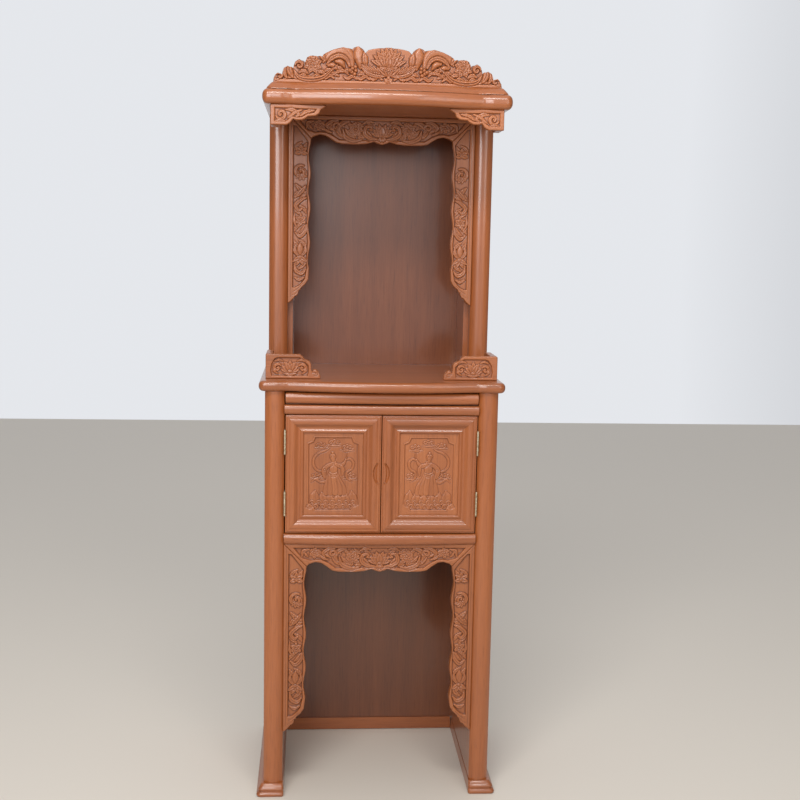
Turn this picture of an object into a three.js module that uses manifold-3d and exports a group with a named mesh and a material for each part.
// Household altar cabinet. Millimetres, +Z up, the front faces -Y, origin under the middle of the footprint.
import * as THREE from "three";
import Module from "manifold-3d";

const wasm = await Module();
wasm.setup();
const { Manifold, Mesh: SolidMesh } = wasm;

// ---------- driving dimensions ----------
const FRONT = -185; // y of the front plane of the legs
const GAP = 0.3; // fit between neighbouring pieces
const TOTAL_H = 1860;

const LEG_W = 48;
const LEG_D = 48;
const LEG_OUT = 288; // outer face of the front legs
const LEG_SAG = 12; // how far a leg's rounded front falls back at its sides
const BACK = 425; // depth of the body behind the leg fronts
const REAR_D = 45;

const FOOT_H = 31;
const FOOT_IN = 237;
const FOOT_FRONT = -16;
const FOOT_BACK = 430;
const FOOT_FLARE = 17; // how far the foot's plinth stands out past the leg

const TABLE = { z0: 1040, z1: 1066, halfWidth: 303, earY: -13, bow: 20, nose: 12 };
const ROOF = { z0: 1721, z1: 1756, halfWidth: 296, earY: -34, bow: 26, nose: 14 };
const COVE_Z1 = 1772;
const EAR_W = 62;
const EAR_R = 15;
const SLAB_BACK = 430;

const PILLAR_Y = 209;
const PILLAR_D = 45;
const WALL_IN = 226;
const WALL_T = 24;
const LOWER_WALL_T = 20;
const BACK_Y0 = 402; // front of the thin back panels
const BACK_Y1 = 414;

const SHELF = { z0: 1010, z1: 1036.5, bow: 7, nose: 9 };
const RAIL_OVER = { z0: 982.3, z1: 1006, depth: 24.7, nose: 8 };
const RAIL_UNDER = { z0: 655, z1: 682, bow: 12, nose: 9, y: 2, back: 26.7 };
const DOOR = { z0: 684.2, z1: 980.8, inner: 0.9, outer: 237.2, y: 2, t: 22 };
const REBATE_W = 39.2; // width of a door member in front of its panel's groove
const REBATE_Y0 = 10.2;
const REBATE_Y1 = 18.2;
const HINGE = { x: 238.55, y: 2.4, r: 2.4, leaf: 0.8 };

const FRAME_W = 57;
const FRAME_T = 20;
const RELIEF = 5;
const SCALLOP = 88; // length of one scallop on a frame's inner edge
const SCALLOP_DEPTH = 6;
// The two carved frames: peak and lobe are the depths of the head's lower edge at its sides and middle.
const CLEAR_HW = LEG_OUT - LEG_W - GAP;
const UPPER = { y: 213, z0: 1243, z1: ROOF.z0 - GAP, halfWidth: CLEAR_HW - 1, peak: 47, lobe: 69 };
const LOWER = { y: 8, z0: 164, z1: RAIL_UNDER.z0 - GAP, halfWidth: CLEAR_HW, peak: 46, lobe: 71 };

// ---------- solids ----------
function solid(verts, tris) {
  const make = (list) =>
    new Manifold(
      new SolidMesh({
        numProp: 3,
        vertProperties: new Float32Array(verts.flat()),
        triVerts: new Uint32Array(list.flat()),
      }),
    );
  const m = make(tris);
  return m.volume() < 0 ? make(tris.map(([a, b, c]) => [a, c, b])) : m;
}

function cap(ring) {
  return THREE.ShapeUtils.triangulateShape(
    ring.map((p) => new THREE.Vector2(p[0], p[1])),
    [],
  );
}

// A stack of rings with equal point counts: levels = [{z, ring: [[x, y], ...]}], lofted along the third axis.
function loft(levels) {
  const n = levels[0].ring.length;
  const verts = [];
  const tris = [];
  for (const level of levels) for (const p of level.ring) verts.push([p[0], p[1], level.z]);
  for (let k = 0; k + 1 < levels.length; k++) {
    for (let i = 0; i < n; i++) {
      const a = k * n + i;
      const b = k * n + ((i + 1) % n);
      tris.push([a, b, b + n], [a, b + n, a + n]);
    }
  }
  const top = (levels.length - 1) * n;
  for (const [a, b, c] of cap(levels[0].ring)) tris.push([a, c, b]);
  for (const [a, b, c] of cap(levels.at(-1).ring)) tris.push([top + a, top + b, top + c]);
  return solid(verts, tris);
}

const area = (ring) => THREE.ShapeUtils.area(ring.map((p) => new THREE.Vector2(p[0], p[1])));
const ccw = (ring) => (area(ring) < 0 ? ring.slice().reverse() : ring);

function prism(ring, z0, z1) {
  const r = ccw(ring);
  return loft([
    { z: z0, ring: r },
    { z: z1, ring: r },
  ]);
}

const rectangle = (x0, x1, y0, y1) => [[x0, y0], [x1, y0], [x1, y1], [x0, y1]];
const box = (x0, x1, y0, y1, z0, z1) => prism(rectangle(x0, x1, y0, y1), z0, z1);
const joined = (list) => Manifold.union(list);

// Axes of a piece's own (u, v, w): u and v lie in its face, w leaves the face.
const AXES = {
  plan: [[1, 0, 0], [0, 1, 0], [0, 0, 1]],
  front: [[1, 0, 0], [0, 0, 1], [0, -1, 0]],
  right: [[0, 1, 0], [0, 0, 1], [1, 0, 0]],
  left: [[0, -1, 0], [0, 0, 1], [-1, 0, 0]],
  barX: [[0, 1, 0], [0, 0, 1], [1, 0, 0]],
};
const group = new THREE.Group();
group.name = "household_altar_cabinet";
const WOOD = new THREE.MeshStandardMaterial({ color: 0xa8623a, roughness: 0.35 });
const CARVED = new THREE.MeshStandardMaterial({ color: 0xb27a5c, roughness: 0.45 });
const METAL = new THREE.MeshStandardMaterial({ color: 0xb9a37c, roughness: 0.4, metalness: 0.9 });

// Places a solid as a named mesh: its (u, v, w) run along the given axes; flipU mirrors it.
function add(name, m, axes, origin, material = WOOD, flipU = false) {
  const mesh = m.getMesh();
  const [U, V, W] = axes;
  const s = flipU ? -1 : 1;
  const out = new Float32Array(mesh.numVert * 3);
  for (let i = 0; i < mesh.numVert; i++) {
    const [u, v, w] = mesh.vertProperties.slice(i * mesh.numProp, i * mesh.numProp + 3);
    for (let k = 0; k < 3; k++) out[3 * i + k] = origin[k] + s * u * U[k] + v * V[k] + w * W[k];
  }
  const index = Array.from(mesh.triVerts);
  const turn = new THREE.Vector3(...U).cross(new THREE.Vector3(...V)).dot(new THREE.Vector3(...W)) * s;
  if (turn < 0) {
    for (let i = 0; i < index.length; i += 3) [index[i + 1], index[i + 2]] = [index[i + 2], index[i + 1]];
  }
  const shared = new THREE.BufferGeometry();
  shared.setAttribute("position", new THREE.BufferAttribute(out, 3));
  shared.setIndex(index);
  const flat = shared.toNonIndexed();
  flat.computeVertexNormals();
  const piece = new THREE.Mesh(flat, material);
  piece.name = name;
  group.add(piece);
}
const plan = (name, m, material = WOOD) => add(name, m, AXES.plan, [0, FRONT, 0], material);
const bothSides = (build) => [["left", -1], ["right", 1]].forEach(([side, s]) => build(side, s));
const flipped = (points, s) => points.map(([u, v]) => [s * u, v]);
const polar = (center, r, deg) => [
  center[0] + r * Math.cos((deg * Math.PI) / 180),
  center[1] + r * Math.sin((deg * Math.PI) / 180),
];

// Moves every point of a ring inwards by d.
function inset(ring, d) {
  const r = ccw(ring);
  const n = r.length;
  const normal = (a, b) => {
    const length = Math.hypot(b[0] - a[0], b[1] - a[1]);
    return [-(b[1] - a[1]) / length, (b[0] - a[0]) / length];
  };
  return r.map((p, i) => {
    const n1 = normal(r[(i + n - 1) % n], p);
    const n2 = normal(p, r[(i + 1) % n]);
    const sum = [n1[0] + n2[0], n1[1] + n2[1]];
    const k = Math.max(0.35, sum[0] * n1[0] + sum[1] * n1[1]);
    return [p[0] + (sum[0] / k) * d, p[1] + (sum[1] / k) * d];
  });
}

// The right half of a symmetrical outline, listed once, with its mirror image after it.
const symmetrical = (half) => [...half, ...flipped(half.filter(([u]) => u !== 0).reverse(), -1)];

// ---------- carving strokes ----------
function smooth(points, count) {
  if (points.length < 3 || !count) return points;
  const curve = new THREE.CatmullRomCurve3(points.map((p) => new THREE.Vector3(p[0], p[1], 0)));
  return curve.getPoints(count).map((p) => [p.x, p.y]);
}

function valueAt(list, t) {
  if (typeof list === "number") return list;
  const x = t * (list.length - 1);
  const i = Math.min(list.length - 2, Math.floor(x));
  return list[i] + (list[i + 1] - list[i]) * (x - i);
}

// A ridge that follows points in the face; its half-width and crest height vary along it, it stands on base.
function stroke(points, half, crest, base, count = 0) {
  const path = smooth(points, count);
  const m = path.length;
  const verts = [];
  const tris = [];
  path.forEach((p, i) => {
    const a = path[Math.max(0, i - 1)];
    const b = path[Math.min(m - 1, i + 1)];
    const length = Math.hypot(b[0] - a[0], b[1] - a[1]) || 1;
    const t = i / (m - 1);
    const h = valueAt(half, t);
    const du = (-(b[1] - a[1]) / length) * h;
    const dv = ((b[0] - a[0]) / length) * h;
    verts.push([p[0] + du, p[1] + dv, base], [p[0], p[1], valueAt(crest, t)], [p[0] - du, p[1] - dv, base]);
  });
  for (let i = 0; i + 1 < m; i++) {
    for (let k = 0; k < 3; k++) {
      const a = 3 * i + k;
      const b = 3 * i + ((k + 1) % 3);
      tris.push([a, a + 3, b + 3], [a, b + 3, b]);
    }
  }
  tris.push([0, 1, 2], [3 * m - 3, 3 * m - 1, 3 * m - 2]);
  return solid(verts, tris);
}

// A petal or leaf: a kite from its foot to its tip with one raised point; bend turns the tip sideways.
function petal(foot, deg, length, half, crest, base, bend = 0) {
  const middle = polar(foot, length * 0.48, deg + bend * 0.4);
  const tip = polar(foot, length, deg + bend);
  const a = polar(middle, half, deg + bend * 0.6 + 90);
  const b = polar(middle, half, deg + bend * 0.6 - 90);
  return solid(
    [[...foot, base], [...b, base], [...tip, base], [...a, base], [...middle, crest]],
    [[0, 1, 4], [1, 2, 4], [2, 3, 4], [3, 0, 4], [0, 2, 1], [0, 3, 2]],
  );
}

// A low boss: flat-topped when it has a top radius.
function dome(center, r, crest, base, n = 6, flat = 0) {
  const corner = (i, radius) => polar(center, radius, (360 * i) / n);
  const ring = (radius, z) => Array.from({ length: n }, (_, i) => [...corner(i, radius), z]);
  const verts = [[center[0], center[1], crest], ...ring(r, base)];
  if (flat) verts.push(...ring(r * flat, base + (crest - base) * 0.8));
  const tris = [];
  for (let i = 0; i < n; i++) {
    const a = 1 + i;
    const b = 1 + ((i + 1) % n);
    if (flat) tris.push([a, b, b + n], [a, b + n, a + n], [0, a + n, b + n]);
    else tris.push([a, b, 0]);
    if (i > 0 && i + 1 < n) tris.push([1, b, a]);
  }
  return solid(verts, tris);
}

function rosette(center, r, petals, crest, base, turn = 90) {
  const list = [dome(center, r * 0.36, crest, base, 5)];
  for (let i = 0; i < petals; i++) {
    const deg = turn + (360 * i) / petals;
    list.push(petal(polar(center, r * 0.3, deg), deg, r * 0.72, r * 0.33, crest - 1, base));
  }
  return list;
}

// A scroll that winds in from radius r0 to its eye at r1.
function scroll(center, r0, r1, from, sweep, half, crest, base, n = 6) {
  const points = Array.from({ length: n + 1 }, (_, i) => {
    const t = i / n;
    return polar(center, r0 + (r1 - r0) * t, from + sweep * t);
  });
  return stroke(points, [half * 0.6, half, half * 0.9, half * 0.45], crest, base);
}

// ---------- posts and feet ----------
function roundFront(x0, x1, y, depth, sag, n = 8) {
  const ring = [];
  for (let i = 0; i <= n; i++) {
    const t = -Math.cos((Math.PI * i) / n);
    ring.push([(x0 + x1) / 2 + (t * (x1 - x0)) / 2, y + sag * Math.abs(t) ** 2.6]);
  }
  return [...ring, [x1, y + depth], [x0, y + depth]];
}

// The foot's moulding from the floor up: [height, how far it stands out past the leg].
const FOOT_MOULD = [
  [0, 13], [3, FOOT_FLARE], [9, FOOT_FLARE], [13.5, 11.5], [16, 12.5], [23, 11], [27, 7], [FOOT_H, 4],
];

function foot(s) {
  const levels = FOOT_MOULD.map(([z, out]) => {
    const tuck = FOOT_FLARE - out;
    const xi = FOOT_IN + tuck * 0.15;
    const xo = LEG_OUT + out;
    const yf = FOOT_FRONT + tuck;
    const yb = FOOT_BACK - tuck * 0.3;
    const nose = [[xi + 4, yf], [xo - 10, yf], [xo - 3, yf + 3], [xo, yf + 10]];
    const ring = [...nose, [xo, yb], [xi, yb], [xi, yf + 4]];
    return { z, ring: ccw(flipped(ring, s)) };
  });
  return loft(levels);
}

bothSides((side, s) => {
  const inner = LEG_OUT - LEG_W;
  const leg = flipped(roundFront(inner, LEG_OUT, 0, LEG_D, LEG_SAG), s);
  const pillar = flipped(roundFront(inner - 1, LEG_OUT - 1, PILLAR_Y, PILLAR_D, LEG_SAG), s);
  const rear = (x0, x1) => flipped(rectangle(x0, x1, BACK - REAR_D, BACK), s);
  plan("leg_front_" + side, prism(leg, FOOT_H + GAP, TABLE.z0 - GAP));
  plan("pillar_" + side, prism(pillar, TABLE.z1 + GAP, ROOF.z0 - GAP));
  plan("leg_rear_" + side, prism(rear(inner, LEG_OUT), FOOT_H + GAP, TABLE.z0 - GAP));
  plan("rear_post_" + side, prism(rear(WALL_IN, LEG_OUT - 1), TABLE.z1 + GAP, ROOF.z0 - GAP));
  plan("foot_" + side, foot(s));
});

// ---------- side walls, backs and inner boards ----------
// A board w wide and h high; its outer face, at t, carries a sunk border round a raised field.
function panelBoard(w, h, t, margin) {
  const sunk = 4;
  const outer = rectangle(margin, w - margin, margin, h - margin);
  const cut = loft([{ z: t - sunk, ring: inset(outer, 4) }, { z: t + 0.5, ring: outer }]);
  const field = loft([{ z: t - sunk - 1, ring: inset(outer, 9) }, { z: t, ring: inset(outer, 14) }]);
  return joined([prism(rectangle(0, w, 0, h), 0, t).subtract(cut), field]);
}

bothSides((side, s) => {
  const axes = s > 0 ? AXES.right : AXES.left;
  const wall = (name, inner, frontY, z0, z1, t, margin) => {
    const depth = BACK - REAR_D - frontY - 2 * GAP;
    const start = FRONT + frontY + GAP;
    const y = s > 0 ? start : start + depth;
    add(name + side, panelBoard(depth, z1 - z0 - 2 * GAP, t, margin), axes, [s * inner, y, z0 + GAP]);
  };
  wall("side_panel_lower_", LEG_OUT - LEG_W, LEG_D, FOOT_H, TABLE.z0, LOWER_WALL_T, 34);
  wall("side_panel_upper_", WALL_IN, PILLAR_Y + PILLAR_D, TABLE.z1, ROOF.z0, WALL_T, 22);
});

const IN = CLEAR_HW;
const RAIL_BOTTOM = { halfWidth: FOOT_IN - 0.6, y0: 398, y1: 418, z0: 2, z1: 36 };
const BOARD_T = { floor: 20, top: 18 };
const BEHIND_FRONT = { floor: 27, top: 25 }; // where the two boards start behind the front rails
plan("back_panel_upper", box(-WALL_IN + GAP, WALL_IN - GAP, BACK_Y0, BACK_Y1, TABLE.z1 + GAP, ROOF.z0 - GAP));
const railBottomPlan = rectangle(
  -RAIL_BOTTOM.halfWidth,
  RAIL_BOTTOM.halfWidth,
  RAIL_BOTTOM.y0,
  RAIL_BOTTOM.y1,
);
plan("back_rail_bottom", prism(railBottomPlan, RAIL_BOTTOM.z0, RAIL_BOTTOM.z1));
plan("back_panel_lower", box(-IN, IN, BACK_Y0, BACK_Y1, RAIL_BOTTOM.z1 + GAP, TABLE.z0 - GAP));
plan(
  "cabinet_floor",
  box(-IN, IN, BEHIND_FRONT.floor, BACK_Y0 - GAP, RAIL_UNDER.z0, RAIL_UNDER.z0 + BOARD_T.floor),
);
plan("cabinet_top", box(-IN, IN, BEHIND_FRONT.top, BACK_Y0 - GAP, RAIL_OVER.z1 - BOARD_T.top, RAIL_OVER.z1));

// ---------- slabs with a bullnose, two ears and a bowed front ----------
// Outline of a slab; level says how far it stands back from the slab's widest outline.
function slabRing(halfWidth, earY, bow, level) {
  const inner = halfWidth - EAR_W;
  const steps = 4;
  const half = [];
  for (let i = 0; i <= steps; i++) {
    const y = earY + 5 - (bow + 5) * Math.cos((Math.PI / 2) * (i / steps)) + level;
    half.push([(inner - 8) * (i / steps), y]);
  }
  half.push([inner + 6, earY + 0.8 + level], [inner + 14, earY + level]);
  const earCentre = [halfWidth - EAR_R, earY + EAR_R];
  for (const deg of [-75, -15]) half.push(polar(earCentre, EAR_R - level * 0.999, deg));
  half.push([halfWidth - level, SLAB_BACK]);
  return ccw(symmetrical(half));
}

const slab = (halfWidth, earY, bow, z0, z1, profile) =>
  loft(profile.map(([t, level]) => ({ z: z0 + t * (z1 - z0), ring: slabRing(halfWidth, earY, bow, level) })));

const NOSE_SHARES = [[0, 0.8], [0.14, 0.25], [0.38, 0], [0.62, 0], [0.86, 0.25], [1, 0.85]];
const bullnose = (r) => NOSE_SHARES.map(([t, share]) => [t, r * share]);
const COVE_MOULD = [[0, 0], [0.3, 2.5], [0.7, 8.5], [1, 14.5]];
const COVE_STEP = 9; // how far the cove starts inside the roof's edge
for (const [name, b] of [["tabletop", TABLE], ["roof", ROOF]]) {
  plan(name, slab(b.halfWidth, b.earY, b.bow, b.z0, b.z1, bullnose(b.nose)));
}
plan(
  "roof_cove",
  slab(ROOF.halfWidth - COVE_STEP, ROOF.earY + COVE_STEP, ROOF.bow, ROOF.z1 + GAP, COVE_Z1, COVE_MOULD),
);

// ---------- front rails and the pull-out shelf ----------
const edgeRound = (r) => [[0, r], [0.18, r * 0.3], [0.5, 0], [0.82, r * 0.3], [1, r]];

function halfRoundBar(x0, x1, depth, z0, z1, nose, n = 6) {
  const ring = [[depth, z0], [depth, z1]];
  for (let i = 0; i <= n; i++) {
    const a = Math.PI / 2 - (Math.PI * i) / n;
    ring.push([nose - nose * Math.cos(a), (z0 + z1) / 2 + ((z1 - z0) / 2) * Math.sin(a)]);
  }
  return prism(ring, x0, x1);
}

// A rail whose front is bowed in plan and rounded in section; sides gives the corners behind the bow.
function bowedBar(halfWidth, frontY, bow, z0, z1, nose, sides) {
  const steps = 6;
  const levels = edgeRound(nose).map(([t, level]) => {
    const ring = [];
    for (let i = 0; i <= steps; i++) {
      const u = -1 + (2 * i) / steps;
      ring.push([u * halfWidth, frontY - bow * (1 - u * u) + level]);
    }
    return { z: z0 + t * (z1 - z0), ring: ccw([...ring, ...sides(level)]) };
  });
  return loft(levels);
}

const SHELF_HW = IN - 2.4;
const SHELF_BACK = 20;
add(
  "rail_over_doors",
  halfRoundBar(-IN, IN, RAIL_OVER.depth, RAIL_OVER.z0, RAIL_OVER.z1, RAIL_OVER.nose),
  AXES.barX,
  [0, FRONT, 0],
);
plan(
  "rail_under_doors",
  bowedBar(IN, RAIL_UNDER.y, RAIL_UNDER.bow, RAIL_UNDER.z0, RAIL_UNDER.z1, RAIL_UNDER.nose, () => [
    [IN, RAIL_UNDER.back],
    [-IN, RAIL_UNDER.back],
  ]),
);
plan(
  "shelf_front",
  bowedBar(SHELF_HW - 6, 0, SHELF.bow, SHELF.z0, SHELF.z1, SHELF.nose, (level) => {
    const x = SHELF_HW - level * 0.4;
    return [[x, 5 + level], [x, SHELF_BACK], [-x, SHELF_BACK], [-x, 5 + level]];
  }),
);
plan(
  "shelf_board",
  box(-SHELF_HW, SHELF_HW, SHELF_BACK + GAP, 385, RAIL_OVER.z1 + 0.5, RAIL_OVER.z1 + 16),
);

// ---------- doors ----------
// Door moulding: [across from the outer edge, back from the front plane].
const MOULD_W = 45.2;
const MOULD = [
  [0, DOOR.t], [0, 5], [3.2, 3.4], [5.2, 1.8], [10.2, 1.8], [12.2, 0.6], [16.2, 0], [21.2, 0.6],
  [26.2, 4], [30.2, 6.6], [35.2, 7], [38.2, 5.4], [42.2, 5.2], [MOULD_W, 8], [MOULD_W, REBATE_Y0],
  [REBATE_W, REBATE_Y0], [REBATE_W, REBATE_Y1], [MOULD_W, REBATE_Y1], [MOULD_W, DOOR.t],
];
const DOOR_W = DOOR.outer - DOOR.inner;
const DOOR_H = DOOR.z1 - DOOR.z0;

// A member mitred at both ends: u along it, v across it, w back from the front.
function mitred(profile, length, gap = 0.15) {
  const ring = ccw(profile);
  const n = ring.length;
  const verts = [];
  const tris = [];
  for (const [across, back] of ring) verts.push([across + gap, across, back]);
  for (const [across, back] of ring) verts.push([length - across - gap, across, back]);
  for (let i = 0; i < n; i++) {
    const j = (i + 1) % n;
    tris.push([i, j, j + n], [i, j + n, i + n]);
  }
  for (const [a, b, c] of cap(ring)) tris.push([a, c, b], [a + n, b + n, c + n]);
  return solid(verts, tris);
}

// Crescent cutter for the finger grip: u along the stile, v across from the meeting edge, w back.
function gripCutter(middle) {
  const edge = 4;
  const steps = 8;
  const ring = (grow) => {
    const points = [[middle, edge + 5 - grow]];
    for (let i = 0; i <= steps; i++) {
      const a = Math.PI / 2 - (Math.PI * i) / steps;
      points.push([middle + (28 + grow) * Math.sin(a), edge + (17 + grow) * Math.cos(a)]);
    }
    return ccw(points);
  };
  return loft([{ z: -1, ring: ring(1) }, { z: 9, ring: ring(-3) }]);
}

// Rectangle with hollow notches at its corners: n is the notch, q the width of its small steps.
function cartouche(center, halfWidth, halfHeight, n = 12, q = 5) {
  const ring = [];
  for (const [a, b, swap] of [[1, 1, false], [-1, 1, true], [-1, -1, false], [1, -1, true]]) {
    const corner = [
      [halfWidth, halfHeight - n - q],
      [halfWidth - q, halfHeight - n - q + 2],
      [halfWidth - n, halfHeight - n],
      [halfWidth - n - q + 2, halfHeight - q],
      [halfWidth - n - q, halfHeight],
    ].map(([x, y]) => [center[0] + a * x, center[1] + b * y]);
    ring.push(...(swap ? corner.reverse() : corner));
  }
  return ccw(ring);
}

const PANEL_T = 7.4;
const PANEL_Y = 10.5; // face of the door panel behind the front of the door
const PANEL_W = DOOR_W - 2 * REBATE_W - 2 * GAP;
const PANEL_H = DOOR_H - 2 * REBATE_W - 2 * GAP;

// Carved door panel: a robed figure with ribbons on rocks, inside a sunk field. Its face is at w = PANEL_T.
function figurePanel() {
  const ground = PANEL_T - 2.6;
  const center = [PANEL_W / 2, PANEL_H / 2];
  const ring = cartouche(center, 62, 92);
  const sinking = loft([{ z: ground, ring: inset(ring, 1.6) }, { z: PANEL_T + 0.5, ring }]);
  const board = prism(rectangle(0, PANEL_W, 0, PANEL_H), 0, PANEL_T).subtract(sinking);
  const at = ([u, v]) => [center[0] + u, center[1] + v];
  const ridge = (points, half, crest, count) =>
    stroke(points.map(at), half, crest.map((c) => ground + c), ground, count);
  const head = dome(at([2, 38]), 8.5, ground + 2.5, ground, 7, 0.7);
  const topknot = dome(at([3, 48]), 4.2, ground + 2.2, ground, 5);
  const robe = ridge([[2, 30], [0, 14], [-4, -6], [-6, -26]], [9, 14, 15, 19], [2.2, 2.6, 2.2, 1.4], 3);
  const sleeves = [
    ridge([[6, 24], [20, 16], [26, 4]], [5, 5.5, 3], [2.2, 2.5, 1.6], 3),
    ridge([[-6, 24], [-20, 18], [-28, 28]], [5, 5.5, 3], [2.2, 2.5, 1.6], 3),
  ];
  const ribbonHalf = [2.2, 3, 3, 2.4, 1];
  const ribbonCrest = [1.6, 2, 1.8, 1.6, 1];
  const ribbons = [
    ridge([[-28, 28], [-44, 34], [-48, 16], [-36, 2], [-44, -14]], ribbonHalf, ribbonCrest, 4),
    ridge([[26, 4], [42, 12], [46, 34], [32, 52], [14, 62]], ribbonHalf, ribbonCrest, 4),
    ridge([[10, -20], [30, -26], [46, -20]], [3.5, 4.5, 1.5], [1.6, 1.8, 1], 3),
  ];
  const rocks = ridge(
    [[-50, -52], [-36, -44], [-20, -56], [-2, -46], [18, -58], [34, -46], [52, -54]],
    [8, 12, 9, 13, 9, 12, 8],
    [1.4, 2.4, 1.6, 2.6, 1.6, 2.4, 1.4],
    6,
  );
  const waves = ridge(
    [[-50, -74], [-24, -68], [4, -76], [30, -68], [52, -74]],
    [6, 9, 7, 9, 6],
    [1.2, 2, 1.4, 2, 1.2],
    4,
  );
  return joined([board, head, topknot, robe, ...sleeves, ...ribbons, rocks, waves]);
}

const panelSolid = figurePanel();
const stile = mitred(MOULD, DOOR_H);
const rail = mitred(MOULD, DOOR_W);
const meetingStile = stile.subtract(gripCutter(DOOR_H * 0.51));
bothSides((side, s) => {
  const name = "door_" + side + "_";
  const y = FRONT + DOOR.y;
  const up = [0, 0, 1];
  const down = [0, 0, -1];
  const back = [0, 1, 0];
  const outwards = [s, 0, 0];
  const inwards = [-s, 0, 0];
  add(name + "stile_hinge", stile, [up, inwards, back], [s * DOOR.outer, y, DOOR.z0]);
  add(name + "stile_meeting", meetingStile, [up, outwards, back], [s * DOOR.inner, y, DOOR.z0]);
  add(name + "rail_bottom", rail, [outwards, up, back], [s * DOOR.inner, y, DOOR.z0]);
  add(name + "rail_top", rail, [outwards, down, back], [s * DOOR.inner, y, DOOR.z1]);
  const corner = [s * (DOOR.inner + REBATE_W + GAP), y + PANEL_Y + PANEL_T, DOOR.z0 + REBATE_W + GAP];
  add(name + "panel", panelSolid, AXES.front, corner, CARVED, s < 0);
});

// Butt hinges: three knuckles in a row, two on the leg's leaf and the middle one on the door's leaf.
const HINGE_SPANS = { upper: [882, 944], lower: [728, 790] };
const LEG_LEAF_X = LEG_OUT - LEG_W - GAP - HINGE.leaf;
const DOOR_LEAF_X = DOOR.outer + 0.2;
bothSides((side, s) => {
  for (const [which, [z0, z1]] of Object.entries(HINGE_SPANS)) {
    const third = (z1 - z0) / 3;
    const circle = Array.from({ length: 6 }, (_, i) => polar([HINGE.x, HINGE.y], HINGE.r, 60 * i + 30));
    const knuckle = (a, b) => prism(flipped(circle, s), a, b);
    const leaf = (x, back) => prism(flipped(rectangle(x, x + HINGE.leaf, HINGE.y + 1, back), s), z0, z1);
    const relief = (a, b) => box(-LEG_OUT, LEG_OUT, -LEG_D, HINGE.y + HINGE.r + 1, a, b);
    const legLeaf = leaf(LEG_LEAF_X, 27).subtract(relief(z0 + third - GAP, z1 - third + GAP));
    const doorLeaf = leaf(DOOR_LEAF_X, 23)
      .subtract(relief(z0 - 1, z0 + third))
      .subtract(relief(z1 - third, z1 + 1));
    const name = `hinge_${side}_${which}_`;
    const legKnuckles = [knuckle(z0, z0 + third - GAP), knuckle(z1 - third + GAP, z1)];
    plan(name + "leg_leaf", joined([legLeaf, ...legKnuckles]), METAL);
    plan(name + "door_leaf", joined([doorLeaf, knuckle(z0 + third, z1 - third)]), METAL);
  }
});

// ---------- carved frames of the two openings ----------
// Inner edge of a frame's side member: shallow scallops.
const scalloped = (v, inset0 = 0) =>
  FRAME_W - inset0 - (SCALLOP_DEPTH / 2) * (1 - Math.cos((2 * Math.PI * (v + FRAME_W)) / SCALLOP));

// Side member, L long: u from the post, v down from the top; mitred above, with a leaf tip below.
function sideFrame(L) {
  const ground = FRAME_T - RELIEF;
  const straight = L - FRAME_W - 90;
  const steps = 12;
  const edge = Array.from({ length: steps + 1 }, (_, i) => {
    const v = -FRAME_W - 0.2 - (straight * i) / steps;
    return [scalloped(v), v];
  });
  const tip = [
    [53, 62], [45, 49], [34, 40], [33, 35], [29, 33], [26.5, 24], [22, 18], [20, 19], [13, 10], [2, 0],
    [0, 2],
  ].map(([u, v]) => [u, v - L]);
  const field = Array.from({ length: 9 }, (_, i) => {
    const v = -FRAME_W - 12 - ((straight - 12) * i) / 8;
    return [scalloped(v, 5), v];
  });
  field.push([42, 58 - L], [30, 48 - L], [13, 34 - L], [11, 40 - L], [11, -24]);
  const board = prism([[0, -0.2], ...edge, ...tip], 0, FRAME_T).subtract(prism(field, ground, FRAME_T + 1));

  const c = (FRAME_W + 6) / 2;
  const span = L - FRAME_W - 60;
  const y = (share) => -FRAME_W - 6 - span * share;
  const strap = (points, half, lift, count) =>
    stroke(points.map(([du, share]) => [c + du, y(share)]), half, ground + lift, ground, count);
  const bud = [c, y(0.84)];
  return joined([
    board,
    ...rosette([c, y(0.15)], 15, 5, FRAME_T, ground, 60),
    ...rosette([c + 1, y(0.52)], 11, 5, FRAME_T, ground),
    petal(bud, 90, 24, 7, FRAME_T, ground),
    petal([c - 2, y(0.84)], 140, 20, 5.5, FRAME_T - 1, ground, -25),
    petal([c + 2, y(0.84)], 40, 20, 5.5, FRAME_T - 1, ground, 25),
    petal([c, y(0.85)], -90, 22, 7, FRAME_T - 0.5, ground),
    strap([[0, 0.27], [-12, 0.33], [-2, 0.39], [8, 0.44]], [2.5, 5, 5.5, 2], 4.6, 4),
    strap([[12, 0.22], [16, 0.3], [4, 0.35]], [2.5, 5, 1.5], 4.2, 3),
    strap([[-4, 0.6], [12, 0.65], [2, 0.71], [-10, 0.76]], [2.5, 5, 5.5, 2], 4.6, 4),
    strap([[-14, 0.57], [-14, 0.66], [-4, 0.69]], [2.5, 5, 1.5], 4.2, 3),
    strap([[12, 0.04], [-4, -0.01], [-13, 0.07]], [1.5, 5, 2], 4.4, 3),
    strap([[6, 0.95], [-6, 1.0], [-14, 0.93]], [1.5, 4.5, 1.5], 4.2, 3),
  ]);
}

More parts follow.
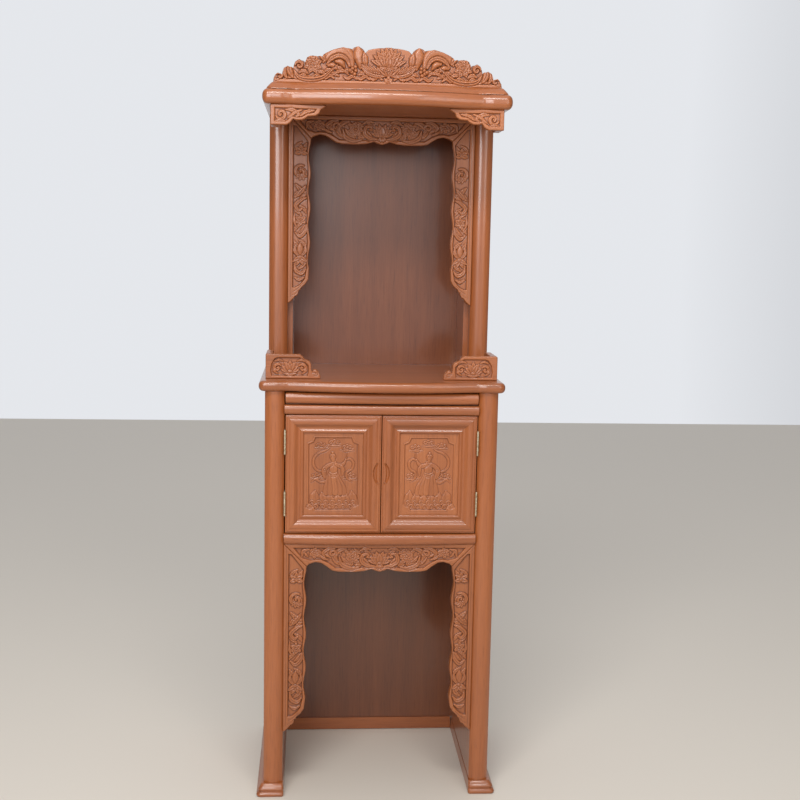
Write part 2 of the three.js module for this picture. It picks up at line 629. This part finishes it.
// Head member: u from the middle, v down from the top; mitred at both ends, with a lobed lower edge.
function apron({ halfWidth: H, peak, lobe }) {
  const ground = FRAME_T - RELIEF;
  const X = H - FRAME_W;
  const edge = [
    [H - 0.2, 0], [X - 0.2, -FRAME_W], [X - 6, -peak - 5], [X - 22, -peak], [X - 36, -peak - 2],
    [X - 50, -peak - (lobe - peak) * 0.45], [X - 64, -lobe + 3], [X - 80, -lobe], [62, -lobe - 0.5],
    [40, -lobe + 1.5], [26, -lobe + 5.5], [20, -lobe + 7], [12, -lobe + 3], [0, -lobe],
  ];
  const field = [
    [H - 30, -9], [X - 14, -peak + 1], [X - 24, -peak + 5], [X - 38, -peak + 3],
    [X - 54, -peak - (lobe - peak) * 0.4 + 5], [X - 72, -lobe + 7], [60, -lobe + 6], [36, -lobe + 8],
    [20, -lobe + 13], [0, -lobe + 7],
  ];
  const board = prism(symmetrical(edge), 0, FRAME_T);
  const list = [board.subtract(prism(symmetrical(field), ground, FRAME_T + 1))];
  const lotus = [[90, 26, 7], [58, 24, 6], [122, 24, 6], [28, 25, 5.5], [152, 25, 5.5]];
  for (const [deg, length, half] of lotus) {
    list.push(petal([0, -lobe + 20], deg, length, half, FRAME_T, ground));
  }
  list.push(dome([0, -lobe + 17], 7, FRAME_T, ground, 6));
  for (const s of [1, -1]) {
    const strap = (points, half, lift, count) =>
      list.push(stroke(flipped(points, s), half, ground + lift, ground, count));
    const curl = [[10, -lobe + 12], [30, -lobe + 17], [44, -lobe + 30], [36, -lobe + 42], [26, -lobe + 34]];
    strap(curl, [2, 5, 5, 4, 2], 4.6, 4);
    strap([[50, -lobe + 12], [72, -lobe + 10], [92, -lobe + 20], [98, -lobe + 36]], [2, 5, 5, 2], 4.4, 4);
    strap([[82, -16], [100, -20], [112, -lobe * 0.5], [104, -lobe * 0.6]], [2, 5.5, 5, 2], 4.4, 4);
    strap([[112, -16], [128, -18], [138, -30], [130, -36]], [2, 5, 4.5, 2], 4.2, 3);
    strap([[X - 4, -18], [X + 8, -24], [X + 6, -38]], [2, 5, 2], 4.2, 3);
    list.push(...rosette([s * 64, -lobe * 0.52], 14, 5, FRAME_T, ground, 90 - s * 20));
    list.push(...rosette([s * (X - 20), -peak * 0.52], 12, 5, FRAME_T, ground, 90 + s * 15));
  }
  return joined(list);
}

for (const [name, opening] of [["upper", UPPER], ["lower", LOWER]]) {
  const y = FRONT + opening.y + FRAME_T;
  const side = sideFrame(opening.z1 - opening.z0);
  add(name + "_apron", apron(opening), AXES.front, [0, y, opening.z1], CARVED);
  add(name + "_frame_left", side, AXES.front, [-opening.halfWidth, y, opening.z1], CARVED);
  add(name + "_frame_right", side, AXES.front, [opening.halfWidth, y, opening.z1], CARVED, true);
}

// ---------- corner brackets under the roof, corner guards on the tabletop ----------
const CORNER_T = 16;
const CORNER_GROUND = CORNER_T - 4;
const carvedPlate = (ring, field, strokes) =>
  joined([prism(ring, 0, CORNER_T).subtract(prism(field, CORNER_GROUND, CORNER_T + 1)), ...strokes]);
const cornerStroke = (points, half, below) => stroke(points, half, CORNER_T - below, CORNER_GROUND, 3);
const cornerScroll = (center, r0, r1, from, sweep, half, n = 6) =>
  scroll(center, r0, r1, from, sweep, half, CORNER_T - 0.4, CORNER_GROUND, n);

const BRACKET_Z = ROOF.z0 - GAP;
const BRACKET_OUT = 276.5;
const BRACKET_Y = -22;
const bracketFront = carvedPlate(
  [
    [0, 0], [0, -47], [37, -47], [46, -42], [53, -33], [60, -35], [74, -35], [82, -31], [88, -26],
    [94, -25.5], [106, -24.5], [114, -19], [117, -11], [122, -7.5], [129.5, -2.5], [129.5, 0],
  ],
  [
    [10, -8], [10, -38], [34, -39], [40, -36], [48, -27], [72, -28], [86, -20], [102, -19], [108, -13],
    [110, -8],
  ],
  [
    cornerScroll([25, -25], 12, 4, 200, 330, 4),
    cornerStroke([[38, -14], [54, -16], [66, -22]], [2, 5, 2], 0.6),
    cornerStroke([[44, -24], [56, -22], [70, -12]], [2, 4, 2], 1),
    cornerStroke([[74, -22], [88, -14], [104, -13]], [2, 5, 1.5], 0.6),
  ],
);
const bracketLength = PILLAR_Y - BRACKET_Y - CORNER_T - 2 * GAP;
const bracketSide = carvedPlate(
  [
    [0, 0], [0, -47], [58, -47], [68, -42], [78, -33], [86, -35], [116, -34], [126, -29], [136, -22],
    [144, -23], [176, -22], [186, -16], [bracketLength, -14], [bracketLength, 0],
  ],
  [[9, -8], [9, -39], [54, -40], [62, -36], [74, -26], [114, -27], [132, -16], [174, -15], [180, -8]],
  [
    cornerScroll([28, -24], 12, 4, 200, 330, 4),
    cornerStroke([[46, -14], [66, -16], [84, -22]], [2, 5, 2], 0.6),
    cornerStroke([[88, -20], [106, -15], [124, -16]], [2, 5, 2], 0.6),
    cornerStroke([[132, -11.5], [152, -12], [170, -11.5]], [1, 2.5, 1], 0.6),
  ],
);

const GUARD_Z = TABLE.z1 + GAP;
const GUARD_OUT = 288;
const GUARD_Y = 40;
const guardPetal = (foot, deg, length, half) => petal(foot, deg, length, half, CORNER_T - 0.2, CORNER_GROUND);
const guardFront = carvedPlate(
  [
    [0, 0], [135, 0], [134, 9], [130, 18], [124, 23], [118, 23], [114, 17], [112, 24], [112, 36],
    [108, 43], [100, 46.5], [95, 48], [92, 54], [84, 60], [2, 60], [0, 58],
  ],
  [
    [14, 7], [103, 7], [106, 20], [105, 33], [97, 40], [88, 43], [84, 51], [30, 52], [22, 49], [15, 36],
    [12, 20],
  ],
  [
    cornerScroll([33, 25], 15, 5, 130, 330, 4.5),
    ...[90, 55, 125, 20, 160].map((deg) => guardPetal([66, 22], deg, deg === 90 ? 24 : 21, 5.5)),
    dome([66, 19], 6, CORNER_T, CORNER_GROUND, 5),
    cornerStroke([[48, 14], [60, 9.5], [76, 10], [90, 14]], [2, 3.5, 3.5, 2], 1),
    cornerScroll([92, 24], 11, 4, 60, -320, 3.8, 5),
  ],
);
const guardLength = PILLAR_Y - GUARD_Y - CORNER_T - 2 * GAP;
const guardSide = carvedPlate(
  [
    [0, 0], [guardLength, 0], [guardLength, 8], [148, 17], [142, 22], [136, 22], [131, 17], [129, 24],
    [129, 36], [125, 43], [117, 46.5], [112, 48], [108, 54], [100, 60], [0, 60],
  ],
  [
    [8, 7], [119, 7], [122, 20], [121, 33], [113, 40], [104, 43], [99, 51], [26, 52], [17, 48], [10, 36],
    [8, 20],
  ],
  [
    cornerScroll([34, 25], 14, 5, 130, 330, 4.5),
    ...[90, 50, 130].map((deg) => guardPetal([72, 20], deg, deg === 90 ? 25 : 22, 6)),
    dome([72, 18], 6, CORNER_T, CORNER_GROUND, 5),
    cornerScroll([104, 24], 11, 4, 60, -320, 3.8, 5),
  ],
);
bothSides((side, s) => {
  const axes = s > 0 ? AXES.right : AXES.left;
  for (const [name, front, flank, out, y, z] of [
    ["bracket", bracketFront, bracketSide, BRACKET_OUT, BRACKET_Y, BRACKET_Z],
    ["guard", guardFront, guardSide, GUARD_OUT, GUARD_Y, GUARD_Z],
  ]) {
    const backY = FRONT + y + CORNER_T;
    add(`${name}_front_${side}`, front, AXES.front, [s * out, backY, z], CARVED, s > 0);
    add(`${name}_side_${side}`, flank, axes, [s * (out - CORNER_T), backY + GAP, z], CARVED, s < 0);
  }
});

// ---------- cresting ----------
const CREST = { halfWidth: 271, top: TOTAL_H - COVE_Z1 - GAP, t: 26, plate: 17, y: -8 };
// Lobes outwards from the middle: [start, end, crown and end notch below the top, place of the crown].
const CREST_LOBES = [
  [57, 86, 0, 6, 0.5],
  [86, 157, 3, 26, 0.3],
  [157, 197, 23, 40, 0.55],
  [197, 225, 33, 54, 0.5],
  [225, 251, 49, 70, 0.5],
  [251, CREST.halfWidth, 65, CREST.top - 6, 0.45],
];

function crestOutline() {
  const { top, halfWidth } = CREST;
  const half = [[0, top], [12, top - 1.5], [24, top - 2], [36, top - 4], [48, top - 7], [55, top - 14]];
  let last = top - 15;
  for (const [start, end, crownDrop, notchDrop, place] of CREST_LOBES) {
    const w = end - start;
    const crown = top - crownDrop;
    const notch = top - notchDrop;
    half.push(
      [start + w * 0.08, last + (crown - last) * 0.55],
      [start + w * place * 0.6, crown - 2],
      [start + w * place, crown],
      [start + w * (place + 0.32), crown - (crown - notch) * 0.25],
      [end - w * 0.06, notch + (crown - notch) * 0.3],
      [end - 0.5, notch],
    );
    last = notch;
  }
  return symmetrical([...half, [halfWidth, 0]]);
}

function crest() {
  const { halfWidth, top, t, plate } = CREST;
  const list = [
    prism(crestOutline(), 0, plate),
    prism(rectangle(-halfWidth + 1, halfWidth - 1, 0, 8), plate, t - 3),
    dome([0, 36], 11, t, plate, 8, 0.65),
    dome([0, 16], 8, t - 2, plate, 6, 0.6),
  ];
  const fan = [
    [90, 44, 10], [66, 43, 8.5], [114, 43, 8.5], [44, 44, 8], [136, 44, 8], [24, 46, 7], [156, 46, 7],
  ];
  for (const [deg, length, half] of fan) list.push(petal([0, 40], deg, length, half, t, plate));
  for (const s of [1, -1]) {
    const sweep = (points, half, below, count) =>
      list.push(stroke(flipped(points, s), half, below.map((d) => t - d), plate, count));
    sweep([[10, 24], [34, 22], [54, 38], [66, 52]], [3, 6, 5, 2], [4, 1, 2, 5], 4);
    sweep([[12, 12], [40, 12], [62, 24], [72, 38]], [2.5, 5, 5, 2], [5, 3, 3, 6], 4);
    // upright petal, then the broad shoulder leaf
    sweep([[66, 42], [70, 60], [73, top - 2]], [7, 12, 6], [4, 1, 4], 3);
    sweep([[92, 44], [98, 64], [116, 72], [138, 66], [158, 50]], [9, 16, 14, 11, 4], [5, 0, 1, 3, 7], 4);
    list.push(...rosette([s * 180, 40], 19, 6, t - 1, plate, 90));
    // long sweep under the peony, ribbon leaf and the outer curls
    sweep(
      [[220, 26], [204, 13], [178, 11], [152, 18], [134, 34], [116, 46]],
      [3, 5, 5.5, 5.5, 4.5, 2],
      [6, 4, 3, 3, 4, 6],
      5,
    );
    sweep([[74, 16], [96, 26], [118, 18], [134, 14]], [2, 5, 4.5, 2], [6, 3, 4, 7], 3);
    sweep([[204, 26], [218, 34], [213, 47], [203, 42]], [3, 6.5, 5.5, 2], [5, 2, 3, 6], 4);
    sweep([[229, 14], [243, 22], [239, 34], [230, 29]], [3, 5.5, 5, 2], [5, 3, 4, 6], 3);
    sweep([[250, 9], [262, 12], [260, 19]], [2.5, 5, 2], [6, 4, 6], 3);
  }
  return joined(list);
}
add("crest", crest(), AXES.front, [0, FRONT + CREST.y + CREST.t, COVE_Z1 + GAP], CARVED);

export default group;
